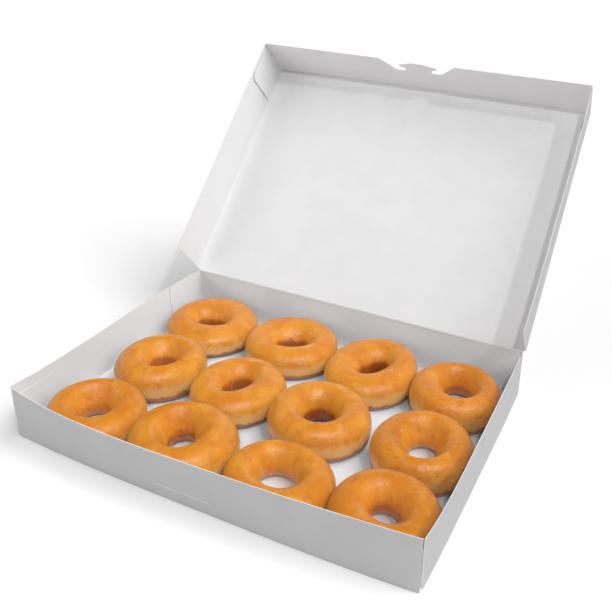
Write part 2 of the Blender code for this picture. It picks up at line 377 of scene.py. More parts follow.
@dataclass(frozen=True)
class GlazedDough:
    """Golden fried dough under a thin clear glaze, with its own bake."""

    bake: float  # 0 palest, 1 brownest
    crazing: float = 0.08  # how plainly the glaze's fine cracks show
    deep: float = 0.35  # how far the hole's wall is browned and deepened: partly real browning, partly painted shade
    browning: float = 0.62  # level below which the hole's wall is browned, with painted shade in deep holes
    scorch: float = 0.0  # a browner patch to the left of the hole
    golden: Colour = display(224, 149, 46)
    amber: Colour = display(211, 128, 34)
    brown: Colour = display(168, 88, 20)
    pale: Colour = display(244, 196, 126)
    fried: Colour = display(186, 104, 36)
    # the hole's deepest wall colour: partly real browning, partly painted shade
    burnt_and_shaded: Colour = display(128, 56, 16)
    dusty: Colour = display(203, 138, 88)
    copper: Colour = display(160, 88, 40)
    # tint of the foot's painted glints, also used for paler flecks on the hole's lower wall
    fleck_glint_tint: Colour = display(212, 152, 108)
    # painted shade where the ring meets the board: under the hole's wall and round the foot
    painted_foot_shade: Colour = display(92, 42, 26)
    sugar: Colour = display(250, 214, 164)
    glow: Colour = display(246, 216, 200)  # what the hole's wall throws down
    spill: float = 0.12  # share of its colour that it throws on the white board

    def top(self, finish: Finish, blotch: Socket) -> Socket:
        """Colour the top golden, with amber drifts and browner spots.

        Args:
            finish: The material under construction.
            blotch: Noise that says where the spots are.

        Returns:
            The colour.
        """
        drift = finish.clouds(22 * MM, detail=3.0, roughness=0.55, warp=0.5)
        low = 0.36 - 0.16 * self.bake
        colour = finish.mix(finish.step(drift, low, low + 0.36), self.golden, self.amber)
        spots = finish.times(finish.step(blotch, 0.55, 0.72), 0.18 + 0.4 * self.bake)
        colour = finish.mix(spots, colour, self.brown)
        scorch = finish.times(finish.stored("scorched"), self.scorch)
        return finish.mix(scorch, colour, self.brown)

    def crust(self, finish: Finish) -> Socket:
        """Colour the crust from the crest to the foot, outside and in the hole.

        Args:
            finish: The material under construction.

        Returns:
            The colour.
        """
        level, throat = finish.stored("level"), finish.stored("throat")
        blotch = finish.clouds(7 * MM, detail=4.0, roughness=0.6, warp=0.8)
        flecks = finish.clouds(1.6 * MM, detail=3.0, roughness=0.7)
        wander = finish.sums("ADD", level, finish.times(finish.sums("SUBTRACT", blotch, 0.5), 0.26))
        outside = finish.step(throat, 0.60, 0.38)
        inside = finish.step(throat, 0.62, 0.80)
        colour = self.top(finish, blotch)
        band = finish.times(finish.step(wander, 0.70, 0.46), outside)
        colour = finish.mix(finish.times(band, 0.68 - 0.45 * self.bake),
                            colour, self.pale)
        # the foot's paler flecks are painted glints
        foot = finish.mix(finish.step(flecks, 0.5, 0.72), self.copper, self.fleck_glint_tint)
        colour = finish.mix(finish.times(finish.step(wander, 0.33, 0.22), outside),
                            colour, foot)
        # the hole's wall is browned below its level, and deeper holes get painted shade there
        wall = finish.times(inside,
                           finish.step(wander, self.browning, self.browning - 0.17))
        browned = finish.mix(self.deep, self.fried, self.burnt_and_shaded)
        wall = finish.times(wall, min(0.9, 0.35 + self.deep))
        colour = finish.mix(wall, colour, browned)
        # paler flecks on the lower wall, in the tint of the foot's painted glints
        dust_and_shade = finish.mix(finish.step(flecks, 0.45, 0.75), self.dusty, self.fleck_glint_tint)
        # deeper holes mix the browned and painted-shade colour into the lower wall's dusty colour
        dust_and_shade = finish.mix(min(1.0, 1.3 * self.deep), dust_and_shade, browned)
        deep = finish.times(finish.step(wander, 0.36, 0.22), inside)
        colour = finish.mix(deep, colour, dust_and_shade)
        # painted shade under the hole's wall
        low = 0.09 + 0.10 * self.deep
        hole_foot_shade = finish.times(finish.step(wander, low, low - 0.05), inside)
        colour = finish.mix(hole_foot_shade, colour, self.painted_foot_shade)
        # painted contact shade round the foot
        return finish.mix(finish.step(wander, 0.07, 0.03), colour, self.painted_foot_shade)

    def make(self, name: str) -> bpy.types.Material:
        """Lay the glaze over the crust.

        Args:
            name: The material's name.

        Returns:
            The material, which reads the levels stored in the doughnut's mesh.
        """
        finish = Finish(name)
        grain = finish.clouds(1.1 * MM, detail=4.0, roughness=0.65)
        patches = finish.clouds(9 * MM, detail=3.0, roughness=0.6, warp=1.0)
        crazed = finish.cracks(2.6 * MM, finish.stretched((1.0, 1.0, 0.6)))
        frosting = finish.times(finish.step(patches, 0.5, 0.75), 0.10)
        colour = finish.mix(frosting, self.crust(finish), self.sugar)
        flaky = finish.times(finish.step(crazed, 0.06, 0.0), finish.step(patches, 0.52, 0.7))
        colour = finish.mix(finish.times(flaky, self.crazing), colour, self.sugar)
        within = finish.step(finish.stored("throat"), 0.55, 0.8)
        thrown = finish.mix(smooth(self.deep, 0.6, 0.75), self.glow, self.fried)
        glow = finish.mix(within, display(212, 207, 210), thrown)
        wrinkles = finish.clouds(3.2 * MM, detail=4.0, roughness=0.55, warp=1.2,
                                 vector=finish.stretched((1.0, 1.0, 1.6)))
        soft = finish.relief(wrinkles, 0.45 * MM)
        fine = finish.relief(grain, 0.09 * MM, soft)
        finish.wear(Base_Color=finish.unspilled(colour, self.spill, glow),
                    Roughness=finish.step(grain, 0.3, 0.7, 0.38, 0.5), Specular_IOR_Level=0.3,
                    Subsurface_Weight=0.2, Subsurface_Radius=(1.0, 0.55, 0.2),
                    Subsurface_Scale=0.005, Coat_Weight=0.6, Coat_Roughness=0.23,
                    Coat_IOR=1.45, Normal=fine, Coat_Normal=fine)
        return finish.material


# ---- folded board

@dataclass
class BoardPart:
    """A board part under construction: folded sheets that share one thickness."""

    name: str
    body: str
    bm: bmesh.types.BMesh = field(default_factory=bmesh.new)

    def sheet(self, us: Sequence[float], vs: Sequence[float], place: Place,
              outward: Vector, layer: Layer = Layer.OUTER) -> list[bmesh.types.BMFace]:
        """Lay one grid of faces through the given lines and fold it into place.

        Args:
            us: Grid lines across the sheet.
            vs: Grid lines along the sheet.
            place: Where the point of each pair of lines goes; its outer face.
            outward: Direction in which the middle of the sheet faces.
            layer: What the sheet's outer face shows.

        Returns:
            The new faces, all facing outward.
        """
        made = bmesh.ops.create_grid(self.bm, x_segments=len(us) - 1,
                                     y_segments=len(vs) - 1, size=0.5)["verts"]
        for vert in made:
            u = us[round((vert.co.x + 0.5) * (len(us) - 1))]
            v = vs[round((vert.co.y + 0.5) * (len(vs) - 1))]
            vert.co = place(u, v)
        faces = list({face for vert in made for face in vert.link_faces})
        facing = Vector()
        for face in faces:
            face.material_index = layer.value
            face.normal_update()
            facing += face.normal * face.calc_area()
        if facing.dot(outward) < 0:
            bmesh.ops.reverse_faces(self.bm, faces=faces)
        return faces

    def weld(self) -> None:
        """Join sheets along the lines that they share, and part them where only tips touch."""
        bmesh.ops.remove_doubles(self.bm, verts=self.bm.verts, dist=0.12 * MM)
        bare = [edge for edge in self.bm.edges if not edge.link_faces]
        bmesh.ops.delete(self.bm, geom=bare, context="EDGES")
        for vert in list(self.bm.verts):
            rims = [edge for edge in vert.link_edges if edge.is_boundary]
            if len(rims) > 2:
                bmesh.utils.vert_separate(vert, rims)

    def finish(self, layers: Materials, turn: Matrix | None = None
               ) -> bpy.types.Object:
        """Give the sheets their thickness and materials, and make the piece ride.

        Args:
            layers: The materials in the order of Layer.
            turn: Where the finished part goes, if it was laid out elsewhere.

        Returns:
            The finished object.
        """
        if turn is not None:
            bmesh.ops.transform(self.bm, matrix=turn, verts=self.bm.verts)
        piece = show_mesh(self.name, self.bm, layers)
        wall = piece.modifiers.new("board", "SOLIDIFY")
        wall.thickness = BOARD
        wall.offset = -1.0
        wall.use_even_offset = True
        wall.material_offset_rim = Layer.EDGE.value
        wall.material_offset = Layer.INNER.value
        settled = piece.evaluated_get(bpy.context.evaluated_depsgraph_get())
        piece.data = bpy.data.meshes.new_from_object(settled)
        piece.modifiers.clear()
        piece.data.name = self.name
        piece.data.shade_smooth()
        piece.data.set_sharp_from_angle(angle=math.radians(50))
        if self.body:
            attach(piece, self.body)
        return piece


@dataclass
class Tray:
    """The tray of the carton: floor, back and side walls, glued ears and the bowed front wall."""

    layers: Materials
    half_length: float = 184 * MM
    half_depth: float = 127.5 * MM
    height: float = 48 * MM
    side_bow_foot: float = 1.1 * MM
    right_bow: float = 1.95 * MM  # how far the right rim bows out
    right_bow_lean: float = 1.6 * MM  # how much more of it lies towards the front
    left_bow: float = 0.3 * MM
    left_wave: float = 3.6 * MM  # the left rim waves: out at the back, in at the front
    left_flare: float = 1.9 * MM  # and turns out again at its front corner
    front_bow_foot: float = 4.0 * MM
    front_bow_rim: float = 10.2 * MM
    front_skew: float = 0.46  # how much further the left half bows than the right
    front_shift: float = 0.5 * MM  # the front wall stands this much forward,
    front_turn: float = 1.3 * MM  # its right end more so and its left end less
    rim_flatness: float = 2.7
    foot_flatness: float = 3.2
    trim_length: float = 12 * MM
    trim_drop: float = 2 * MM
    ear_height: float = 37.6 * MM
    ear_front: float = 44 * MM
    ear_back: float = 50 * MM
    ear_chamfer: float = 2.5 * MM
    ear_sunk: float = 0.12 * MM  # how little an ear stands proud of its wall
    ear_lift: float = 0.2 * MM  # and how far its end springs off it
    corner_gap: float = 0.45 * MM  # between the front wall's fold and a side wall's edge
    slit_middle: float = -8 * MM
    slit_length: float = 48 * MM
    slit_level: float = 13.5 * MM
    slit_height: float = 0.7 * MM
    crease_clearance: float = 0.45 * MM
    squash_keep: float = 0.5
    strip: float = 10 * MM  # width of floor that the front wall brings along
    floor_gap: float = 4 * MM  # how far the floor stops short of the front fold
    floor_lift: float = 0.02 * MM  # the floor lies this much over the strip
    settle: float = 60 * MM  # width of floor that takes up a wall's bow
    back_sway: float = 0.3 * MM  # slow unevenness of the back wall and the front wall
    front_sway: float = 0.2 * MM
    ear_below_rim: float = 0.3 * MM  # how far the back wall's ears end below the rim
    pitch: float = 7 * MM

    @property
    def end(self) -> float:
        """Half length to the folded ends of the front and back walls, inside the side walls."""
        return self.half_length - BOARD - LAYER_GAP

    @property
    def front_end(self) -> float:
        """Half length to the folded ends of the front wall, which stand a little further in."""
        return self.end - self.corner_gap

    def side_bow(self, side: Side, y: float) -> float:
        """Say how far a side wall's rim stands out.

        Args:
            side: Which side wall.
            y: Place along it.

        Returns:
            The distance from the straight line.
        """
        share = max(-1.0, min(1.0, y / self.half_depth))
        if side is Side.RIGHT:
            return (self.right_bow - self.right_bow_lean * share) * (1 - share ** 4)
        wave = self.left_bow + self.left_wave * share
        return wave * (1 - share ** 2) + self.left_flare * smooth(-share, 0.78, 1.0)

    def side_wall_x(self, side: Side, y: float, z: float) -> float:
        """Return how far out a side wall's outer face stands at a place along it."""
        foot = self.side_bow_foot * (1 - min(1.0, abs(y) / self.half_depth) ** 4)
        return self.half_length + lerp(foot, self.side_bow(side, y), z / self.height)

    def front_offset(self, x: float) -> float:
        """Return how far forward the front wall's fold line stands, which is a little askew."""
        return self.front_shift + self.front_turn * max(-1.0, min(1.0, x / self.half_length))

    def front_bow(self, x: float, z: float) -> float:
        """Say how far the front wall stands out.

        Args:
            x: Place along it.
            z: Height above the table.

        Returns:
            The distance from the straight line.
        """
        share = max(-1.0, min(1.0, x / self.end))
        foot = self.front_bow_foot * (1 - abs(share) ** self.foot_flatness)
        rim = self.front_bow_rim * (1 - abs(share) ** self.rim_flatness)
        rim *= 1 - self.front_skew * share
        return self.front_offset(x) + lerp(foot, rim, (z / self.height) ** 0.85)

    def keep_inside(self, point: Vector) -> Vector:
        """Return a point pulled back so far that it stays clear of the tray's walls.

        Args:
            point: A place inside the tray.

        Returns:
            The same place, or the nearest one that clears the board.
        """
        margin = 2 * BOARD + LAYER_GAP
        side = Side.RIGHT if point.x > 0 else Side.LEFT
        widest = self.side_wall_x(side, point.y, point.z) - margin
        front = -(self.half_depth + self.front_bow(point.x, point.z)) + BOARD + 4 * LAYER_GAP
        back = self.half_depth - margin
        return Vector((min(max(point.x, -widest), widest), min(max(point.y, front), back), point.z))

    def floor_and_sides(self, across: float, y: float) -> Vector:
        """Place a point of the sheet that runs up one side wall, across the floor and up the other.

        Args:
            across: Distance from the middle, measured along the sheet.
            y: Distance along the carton's depth.

        Returns:
            The point on the sheet's outer face.
        """
        side = Side.RIGHT if across > 0 else Side.LEFT
        along, up = bend(abs(across) - self.half_length, QUARTER, FOLD_RADIUS)
        bow = self.side_wall_x(side, y, up) - self.half_length
        near_wall = 1.0 if up > 0 else smooth(along, -self.settle, 0.0)
        x = self.half_length + along + bow * near_wall
        standing = smooth(up, 0.0, 2 * FOLD_RADIUS)
        y *= 1 - standing * 0.1 * FOLD_RADIUS / self.half_depth
        y += (1 - standing) * self.floor_gap * smooth(-y, self.settle, self.half_depth - FOLD_RADIUS)
        y -= standing * self.front_offset(across) * smooth(-y, self.settle, self.half_depth)
        drop = self.trim_drop * max(0.0, 1 - (self.half_depth - y) / self.trim_length)
        z = up - drop * (up / self.height) ** 3 + self.floor_lift * (1 - standing)
        return Vector((math.copysign(x, across), y, z))

    def back_wall(self, x: float, run: float) -> Vector:
        """Place a point of the back wall, whose ends turn forward into its ears.

        Args:
            x: Distance along the wall.
            run: Distance up it from its lower fold.

        Returns:
            The point on the outer face.
        """
        along, up = bend(run, QUARTER, FOLD_RADIUS)
        out, inward = bend(abs(x) - self.end, QUARTER, FOLD_RADIUS)
        y = self.half_depth + along - inward
        point = Vector((math.copysign(self.end + out, x), y, up))
        sway = self.back_sway * smooth(up, 0.0, 8 * MM) * smooth(self.height - up, 0.0, 12 * MM)
        return point + Vector((0.0, sway * ripple(point, 60 * MM, 5.0), 0.0))

    def front_wall(self, x: float, run: float) -> Vector:
        """Place a point of the front wall, from the floor's edge up to the rim.

        Args:
            x: Distance along the wall.
            run: Distance up it from its lower fold.

        Returns:
            The point on the outer face.
        """
        along, up = bend(run, QUARTER, FOLD_RADIUS)
        out, inward = bend(abs(x) - self.front_end, QUARTER, FOLD_RADIUS)
        bow = self.front_bow(x, up)
        if run < -FOLD_RADIUS:
            bow *= smooth(run, -self.strip, -FOLD_RADIUS)
        point = Vector((math.copysign(self.front_end + out, x),
                        -(self.half_depth + bow + along) + inward, up))
        sway = self.front_sway * smooth(up, 2 * MM, 12 * MM)
        return point + Vector((0.0, sway * ripple(point, 50 * MM, 8.0), 0.0))

    def ear(self, side: Side, end: int, length: float) -> Place:
        """Return the rule that places one glued ear inside a side wall.

        Args:
            side: Which side wall it lies on.
            end: -1 for the ear of the front wall, 1 for the back wall's.
            length: How far it reaches along the side wall.

        Returns:
            A rule from (distance along the ear, share of its height) to a point.
        """
        root = self.end if end > 0 else self.front_end
        shift = 0.0 if end > 0 else self.front_offset(side.value * self.half_length)

        def place(run: float, share: float) -> Vector:
            """Place one point of the ear."""
            y = end * (self.half_depth + shift - FOLD_RADIUS - run)
            cut = self.ear_chamfer * max(0.0, 1 - (length - run) / self.ear_chamfer)
            top = self.height - self.ear_below_rim if end > 0 else self.ear_height
            z = lerp(BOARD + LAYER_GAP, top - cut, share)
            wall = self.side_wall_x(side, y, z)
            sunk = wall - self.ear_sunk - self.ear_lift * smooth(run, length - EAR_SPRING, length)
            return Vector((side.value * lerp(root, sunk, smooth(run, 0.0, EAR_EASE)), y, z))
        return place

    def build_board(self) -> bpy.types.Object:
        """Fold the tray without its front wall.

        Returns:
            The finished piece.
        """
        part = BoardPart("tray_board", "tray")
        girth = self.half_length + self.height
        folds = mirrored(crease_lines(self.half_length))
        floor_end = self.half_depth - FOLD_RADIUS
        across = stations(-girth, girth, self.pitch, folds)
        depth = stations(-floor_end, floor_end, self.pitch,
                         [self.half_depth - self.trim_length * s for s in (0.25, 0.5, 0.75, 1.0)])
        part.sheet(across, depth, self.floor_and_sides, Vector((0, 0, -1)))
        flat = self.half_length - FOLD_RADIUS
        xs = wall_lines([x for x in across if abs(x) <= flat + 0.01 * MM], self.end)
        top = self.height - self.crease_clearance
        rise = stations(-FOLD_RADIUS, top, self.pitch, crease_lines(0.0))
        part.sheet(xs, rise, self.back_wall, Vector((0, 1, 0)))
        for side in Side:
            for end, length in ((-1, self.ear_front), (1, self.ear_back)):
                runs = stations(0.0, length, 4 * MM, [length - self.ear_chamfer])
                levels = stations(0.0, 1.0, 0.2)
                part.sheet(runs, levels, self.ear(side, end, length),
                           Vector((side.value, 0, 0)), Layer.EAR if end > 0 else Layer.FLAP)
        part.weld()
        piece = part.finish(self.layers)
        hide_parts("tray")
        return piece

    def build_front(self) -> bpy.types.Object:
        """Fold the bowed front wall with its slit.

        Returns:
            The finished piece.
        """
        part = BoardPart("tray_front_wall", "tray")
        half_slit = self.slit_length / 2
        slit_x = (self.slit_middle - half_slit, self.slit_middle + half_slit)
        slit_z = (self.slit_level - self.slit_height / 2, self.slit_level + self.slit_height / 2)
        edge = self.front_end + FOLD_RADIUS
        marks = mirrored(crease_lines(self.front_end)) + list(slit_x)
        xs = stations(-edge, edge, 4 * MM, marks)
        rise = stations(-self.strip, self.height, 4 * MM, crease_lines(0.0) + list(slit_z))
        faces = part.sheet(xs, rise, self.front_wall, Vector((0, -1, 0)))
        slot = [face for face in faces
                if slit_x[0] < face.calc_center_median().x < slit_x[1]
                and slit_z[0] < face.calc_center_median().z < slit_z[1]]
        bmesh.ops.delete(part.bm, geom=slot, context="FACES")
        piece = part.finish(self.layers)
        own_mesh(piece)
        return piece


@dataclass
class Lid:
    """The lid, laid out as if shut: reach runs forward from the crease and drop down."""

    layers: Materials
    axis: Vector
    open_angle: float
    reach: float = 264.8 * MM
    front_turn: float = 0.9 * MM  # the front fold's left end reaches further than its right
    front_bulge: float = 2.5 * MM  # and its middle bulges forward
    depth: float = 48.4 * MM  # drop of the walls' free edges
    half_rear: float = 186.2 * MM
    half_front: float = 188 * MM
    crease_setback: float = 0.5 * MM
    rear_setback: float = 6 * MM
    splay_rear: float = 1.4 * MM  # how far the side walls' free edges stand out
    splay_front: float = 3.0 * MM
    right_bulge: float = 1.3 * MM  # the right one bulges more in its middle
    lean: float = 3.6 * MM
    ear_length: float = 45.5 * MM
    ear_drop: float = 45 * MM
    ear_chamfer: float = 3.5 * MM
    ear_sunk: float = 0.2 * MM
    ear_lift: float = 0.9 * MM
    tab_middle: float = 0.3 * MM
    notch_half_open: float = 43.6 * MM
    notch_half_floor: float = 26 * MM
    notch_drop: float = 31.2 * MM
    tab_root: float = 15.5 * MM
    tab_hook: float = 21.7 * MM
    tab_hook_drop: float = 37.8 * MM
    tab_shoulder: float = 21 * MM
    tab_shoulder_drop: float = 41.6 * MM
    tab_tip: float = 6 * MM
    tab_tip_drop: float = 45.6 * MM
    tab_barb: float = 1.6 * MM  # length over which the neck widens into the hook
    nick: float = 0.3 * MM  # unevenness of the side walls' free edges
    sag: float = 0.55 * MM  # slow unevenness of the panel, and a finer one
    fine_sag: float = 0.12 * MM
    pitch: float = 8 * MM

    @property
    def turn(self) -> Matrix:
        """The move from the shut layout to the shown place."""
        swing = Matrix.Rotation(-self.open_angle, 4, "X")
        return Matrix.Translation(self.axis) @ swing

    @property
    def end(self) -> float:
        """Half length to the folded ends of the front wall, inside the side walls."""
        return self.half_front - BOARD - LAYER_GAP

    def half_width(self, reach: float) -> float:
        """Return the panel's half width at a distance from the crease."""
        return lerp(self.half_rear, self.half_front, reach / self.reach)

    def front_reach(self, x: float, level: float) -> float:
        """Say how far the front wall stands from the crease.

        Args:
            x: Place along it.
            level: 0 at its fold and 1 at its free edge.

        Returns:
            The distance.
        """
        share = max(-1.0, min(1.0, x / self.half_front))
        bulge = self.front_bulge * (1 - share ** 4) * (1 - level)
        return self.reach - self.front_turn * share + bulge

    def splay(self, side: Side, reach: float) -> float:
        """Say how far a side wall's free edge stands out.

        Args:
            side: Which side wall.
            reach: Distance from the crease.

        Returns:
            The distance from the fold's line.
        """
        share = min(1.0, max(0.0, reach / self.reach))
        bulge = self.right_bulge * (1 - (2 * share - 1) ** 4) if side is Side.RIGHT else 0.0
        return lerp(self.splay_rear, self.splay_front, share) + bulge

    def panel(self, across: float, share: float) -> Vector:
        """Place a point of the sheet that makes the top panel and both side walls.

        Args:
            across: Distance from the middle, measured along the sheet at its front.
            share: 0 at the crease and 1 at the front fold.

        Returns:
            The point on the outer face, in the shut layout.
        """
        side = Side.RIGHT if across > 0 else Side.LEFT
        splay = self.splay(side, share * self.reach)
        angle = QUARTER - math.atan(splay / self.depth)
        end = self.front_reach(across, 0.0) - FOLD_RADIUS
        fold = lerp(self.crease_setback, end, share)
        along, drop = bend(abs(across) - self.half_front, angle, FOLD_RADIUS)
        level = drop / self.depth
        reach = lerp(fold, lerp(self.rear_setback, end, share), level) + self.lean * level * share
        half = self.half_width(reach)
        x = half + along if drop > 0 else half * (1 + along / self.half_front)
        point = Vector((math.copysign(x, across), -reach, BOARD - drop))
        if drop > 0:
            nick = self.nick * level ** 2 * ripple(point, 16 * MM, 3.0)
            return point + Vector((math.copysign(nick, across), 0.0, nick))
        away = smooth(-along, 0.0, 25 * MM) * smooth(reach, 0.0, 25 * MM)
        away *= smooth(self.reach - reach, 0.0, 25 * MM)
        sag = self.sag * ripple(point, 90 * MM, 11.0) + self.fine_sag * ripple(point, 25 * MM, 4.0)
        return point + Vector((0.0, 0.0, sag * away))

    def free_drop(self, x: float) -> float:
        """Say how far down the front wall reaches, without its tab.

        Args:
            x: Place along it.

        Returns:
            The drop of its free edge.
        """
        off = abs(x - self.tab_middle)
        slope = (off - self.notch_half_floor) / (self.notch_half_open - self.notch_half_floor)
        return lerp(self.notch_drop, self.depth, min(1.0, max(0.0, slope)))

    def front_point(self, x: float, drop: float, along: float = 0.0) -> Vector:
        """Place a point of the front wall, whose ends turn into the ears.

        Args:
            x: Distance along the wall.
            drop: Distance down it.
            along: How far short of the wall it lies, round the fold.

        Returns:
            The point on the outer face, in the shut layout.
        """
        level = drop / self.depth
        out, inward = bend(abs(x) - self.end, QUARTER, FOLD_RADIUS)
        spread = 1 + self.splay_front * level / self.half_front
        reach = self.front_reach(x, level) + self.lean * level + along - inward
        point = Vector((math.copysign((self.end + out) * spread, x), -reach, BOARD - drop))
        return point + Vector((0.0, 0.25 * MM * level * ripple(point, 40 * MM, 7.0), 0.0))

    def front_wall(self, x: float, row: float) -> Vector:
        """Place a point of the front wall.

        Args:
            x: Distance along the wall.
            row: -1 to 1 round the fold, and from 1 to 2 down to the free edge.

        Returns:
            The point on the outer face, in the shut layout.
        """
        if row <= 1.0:
            along, drop = bend(row * FOLD_RADIUS, QUARTER, FOLD_RADIUS)
            return self.front_point(x, drop, along - self.lean * drop / self.depth)
        return self.front_point(x, lerp(FOLD_RADIUS, self.free_drop(x), row - 1.0))

    def tab_half(self, drop: float) -> float:
        """Give the tab a neck, a hook and a tapered nose.

        Args:
            drop: Distance down the wall.

        Returns:
            The tab's half width there.
        """
        neck_end = self.tab_hook_drop - self.tab_barb
        if drop <= neck_end:
            return self.tab_root
        if drop <= self.tab_hook_drop:
            return lerp(self.tab_root, self.tab_hook, smooth(drop, neck_end, self.tab_hook_drop))
        if drop <= self.tab_shoulder_drop:
            share = (drop - self.tab_hook_drop) / (self.tab_shoulder_drop - self.tab_hook_drop)
            return lerp(self.tab_hook, self.tab_shoulder, share ** 2)
        share = (drop - self.tab_shoulder_drop) / (self.tab_tip_drop - self.tab_shoulder_drop)
        return lerp(self.tab_shoulder, self.tab_tip, share)

    def tab(self, share: float, drop: float) -> Vector:
        """Place a point of the locking tab, share being -1 to 1 across it."""
        return self.front_point(self.tab_middle + share * self.tab_half(drop), drop)

    def ear(self, side: Side) -> Place:
        """Return the rule that places one glued ear inside the front end of a side wall."""
        def place(run: float, share: float) -> Vector:
            """Place one point of the ear, by its distance from the corner and share of drop."""
            cut = self.ear_chamfer * max(0.0, 1 - (self.ear_length - run) / self.ear_chamfer)
            drop = lerp(BOARD + LAYER_GAP, self.ear_drop - cut, share)
            level = drop / self.depth
            corner = self.front_reach(side.value * self.half_front, level)
            reach = corner - FOLD_RADIUS - run + self.lean * level
            wall = self.half_width(reach) + self.splay(side, reach) * level
            lift = self.ear_lift * smooth(run, self.ear_length - EAR_SPRING, self.ear_length)
            sunk = wall - self.ear_sunk - lift * smooth(drop, 2 * MM, 10 * MM)
            x = lerp(wall - BOARD - LAYER_GAP, sunk, smooth(run, 0.0, EAR_EASE))
            return Vector((side.value * x, -reach, BOARD - drop))
        return place

    def build(self) -> bpy.types.Object:
        """Fold the lid and turn it to where it stands open.

        Returns:
            The finished piece.
        """
        part = BoardPart("lid_board", "lid")
        girth = self.half_front + self.depth
        folds = mirrored(crease_lines(self.half_front))
        root = [self.tab_middle + self.tab_root * share for share in (-1, -0.5, 0, 0.5, 1)]
        notch = [self.tab_middle + half
                 for half in mirrored((self.notch_half_floor, self.notch_half_open))]
        across = stations(-girth, girth, self.pitch, folds + root + notch)
        shares = stations(0.0, 1.0, self.pitch / self.reach)
        part.sheet(across, shares, self.panel, Vector((0, 0, 1)))
        rows = [-1.0, -0.5, 0.0, 0.5] + stations(1.0, 2.0, 0.12)
        part.sheet(wall_lines(across, self.end), rows, self.front_wall, Vector((0, -1, 0)))
        drops = stations(self.notch_drop, self.tab_tip_drop, 0.7 * MM,
                         [self.tab_hook_drop, self.tab_shoulder_drop])
        part.sheet([-1, -0.5, 0, 0.5, 1], drops, self.tab, Vector((0, -1, 0)))
        for side in Side:
            runs = stations(0.0, self.ear_length, 4 * MM, [self.ear_length - self.ear_chamfer])
            part.sheet(runs, stations(0.0, 1.0, 0.1), self.ear(side),
                       Vector((side.value, 0, 0)), Layer.EAR)
        part.weld()
        piece = part.finish(self.layers, self.turn)
        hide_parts("lid")
        return piece


@dataclass
class CreaseFold:
    """The strip of board that is bent round between back wall and open lid."""

    layers: Materials
    tray: Tray
    lid: Lid
    steps: int = 8
    proud: float = 0.35 * MM  # how far the fold stands in from the back wall
    lap: float = 1.6 * MM  # from the crease to either edge of the fold
    pull: float = 0.9 * MM  # how far its edges run on straight
    inset: float = 2.2 * MM  # how far its ends stop short of the lid's

    def build(self) -> bpy.types.Object:
        """Bridge the tray's back wall and the lid's panel with a rounded strip.

        Returns:
            The finished piece.
        """
        start = Vector((0.0, self.tray.half_depth - self.proud, self.tray.height - self.lap))
        end = self.lid.turn @ Vector((0.0, -self.lap, BOARD))
        up = Vector((0.0, 0.0, 1.0))
        away = (self.lid.turn.to_3x3() @ Vector((0.0, -1.0, 0.0))).normalized()

        def place(x: float, share: float) -> Vector:
            """Place one point of the strip, share being 0 at the wall and 1 at the lid."""
            first, second = start + up * self.pull, end - away * self.pull
            a, b, c, d = ((1 - share) ** 3, 3 * share * (1 - share) ** 2,
                          3 * share ** 2 * (1 - share), share ** 3)
            point = start * a + first * b + second * c + end * d
            return Vector((x, point.y, point.z))

        part = BoardPart("crease_fold", "")
        half = self.lid.half_rear - self.inset
        part.sheet(stations(-half, half, 12 * MM), stations(0.0, 1.0, 1 / self.steps), place,
                   Vector((0, 1, 0)), Layer.CREASE)
        piece = part.finish(self.layers)
        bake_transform(piece)
        return piece


# ---- doughnuts

class RingOutline:
    """Outline, throat and crest of one doughnut, measured on its solid as smooth waves."""

    rays = 60
    equator = 0.42
    far = 0.1  # a place well outside the ring
    clear = 0.01  # a height well above it

    def __init__(self, node: str) -> None:
        """Measure the named solid.

        Args:
            node: The doughnut's node in the frame.
        """
        low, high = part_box(node)
        mesh = frame["nodes"][node].data
        self.tree = BVHTree.FromPolygons([v.co for v in mesh.vertices],
                                         [tuple(p.vertices) for p in mesh.polygons])
        self.foot, self.top = low.z, high.z
        self.level = lerp(low.z, high.z, self.equator)
        self.middle = Vector(((low.x + high.x) / 2, (low.y + high.y) / 2))
        turns = [2 * math.pi * i / self.rays for i in range(self.rays)]
        for _ in range(2):
            hits = [self.reach_inside(turn) for turn in turns]
            self.middle += Vector((np.mean([r * math.cos(t) for r, t in zip(hits, turns)]),
                                   np.mean([r * math.sin(t) for r, t in zip(hits, turns)])))
        self.throat = self.wave(turns, [self.reach_inside(turn) for turn in turns], 2)
        self.outer = self.wave(turns, [self.reach_outside(turn) for turn in turns], 4)
        self.crest = self.wave(turns, [self.height_at(turn) for turn in turns], 2)

    def direction(self, turn: float) -> Vector:
        """Return the level direction of a turn round the ring."""
        return Vector((math.cos(turn), math.sin(turn), 0.0))

    def reach_inside(self, turn: float) -> float:
        """Return the throat's reach in a direction."""
        start = Vector((*self.middle, self.level))
        return self.tree.ray_cast(start, self.direction(turn))[3]

    def reach_outside(self, turn: float) -> float:
        """Return the outline's reach in a direction."""
        start = Vector((*self.middle, self.level)) + self.direction(turn) * self.far
        return self.far - self.tree.ray_cast(start, -self.direction(turn))[3]

    def height_at(self, turn: float) -> float:
        """Return the crest's height above the foot in a direction."""
        reach = (self.reach_inside(turn) + self.reach_outside(turn)) / 2
        start = Vector((*self.middle, self.top + self.clear)) + self.direction(turn) * reach
        return start.z - self.tree.ray_cast(start, Vector((0, 0, -1)))[3] - self.foot

    def wave(self, turns: Sequence[float], values: Sequence[float], order: int
             ) -> Callable[[float], float]:
        """Return a smooth closed wave through measured values.

        Args:
            turns: Directions of the measures.
            values: The measures.
            order: Number of waves round the ring.

        Returns:
            A rule from a turn to a value.
        """
        rows = [[1.0] + [f(k * t) for k in range(1, order + 1) for f in (math.cos, math.sin)]
                for t in turns]
        terms = np.linalg.lstsq(np.array(rows), np.array(values), rcond=None)[0]

        def value(turn: float) -> float:
            """Return the wave's value at a turn."""
            total = terms[0]
            for k in range(1, order + 1):
                total += terms[2 * k - 1] * math.cos(k * turn) + terms[2 * k] * math.sin(k * turn)
            return float(total)
        return value


